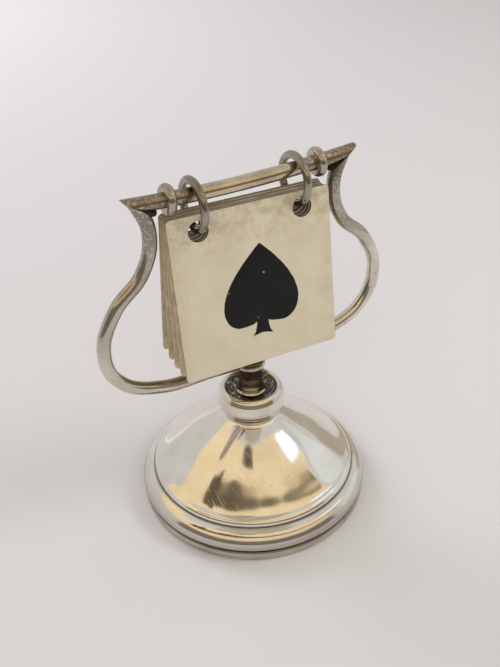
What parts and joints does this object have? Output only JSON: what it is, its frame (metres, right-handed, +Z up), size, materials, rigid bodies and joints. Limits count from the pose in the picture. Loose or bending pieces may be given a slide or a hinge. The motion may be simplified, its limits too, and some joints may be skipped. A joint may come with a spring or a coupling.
{
  "type": "trump marker",
  "caption": "Silver table marker: a lyre of round wire on a domed, weighted base carries a bar, and loose ivory-coloured leaves on rings turn over the bar to show a card suit.",
  "frame": {"origin": "centre of the round base, on the surface it stands on", "axes": "+X along the bar to the right as seen from the front, +Y away from the viewer, +Z up"},
  "size_m": [0.0706, 0.0554, 0.0847],
  "materials": {
    "polished_silver": "polished silver with fine scratches and tarnish in the grooves",
    "dulled_silver_wire": "dulled silver wire",
    "cream_celluloid_sheet": "satin cream sheet, browned at the edges",
    "green_baize": "matte woollen cloth",
    "cast_pitch_loading": "matte cast filling",
    "drawn_steel_rod": "drawn steel"
  },
  "bodies": {
    "stand": {"base_plate": "polished_silver", "base_baize": "green_baize", "base_shell": "polished_silver", "base_loading": "cast_pitch_loading", "knop_collar": "polished_silver", "knop": "polished_silver", "neck": "polished_silver", "stem_rod": "drawn_steel_rod", "stem_nut": "drawn_steel_rod", "lyre_wire": "polished_silver", "crossbar": "polished_silver", "left_stop_collar": "polished_silver", "right_stop_collar": "polished_silver"},
    "rings": {"left_ring": "dulled_silver_wire", "right_ring": "dulled_silver_wire"},
    "leaf_1": {"leaf_1_spade": "cream_celluloid_sheet"},
    "leaf_2": {"leaf_2_heart": "cream_celluloid_sheet"},
    "leaf_3": {"leaf_3_diamond": "cream_celluloid_sheet"},
    "leaf_4": {"leaf_4_club": "cream_celluloid_sheet"},
    "leaf_5": {"leaf_5_no_trump": "cream_celluloid_sheet"}
  },
  "joints": [
    {"name": "pack_turn", "type": "hinge", "parent": "stand", "child": "rings", "pos_m": [0, 0, 0.08101], "axis": [1, 0, 0], "continuous": true},
    {"name": "leaf_3_swing", "type": "hinge", "parent": "rings", "child": "leaf_3", "pos_m": [0, 0, 0.07876], "axis": [-1, 0, 0], "range_deg": [-6, 6]},
    {"name": "leaf_2_lift", "type": "hinge", "parent": "leaf_3", "child": "leaf_2", "pos_m": [0, 0, 0.07876], "axis": [-1, 0, 0], "range_deg": [0, 14]},
    {"name": "leaf_1_lift", "type": "hinge", "parent": "leaf_2", "child": "leaf_1", "pos_m": [0, 0, 0.07876], "axis": [-1, 0, 0], "range_deg": [0, 24]},
    {"name": "leaf_4_lift", "type": "hinge", "parent": "leaf_3", "child": "leaf_4", "pos_m": [0, 0, 0.07876], "axis": [1, 0, 0], "range_deg": [0, 14]},
    {"name": "leaf_5_lift", "type": "hinge", "parent": "leaf_4", "child": "leaf_5", "pos_m": [0, 0, 0.07876], "axis": [1, 0, 0], "range_deg": [0, 24]}
  ]
}
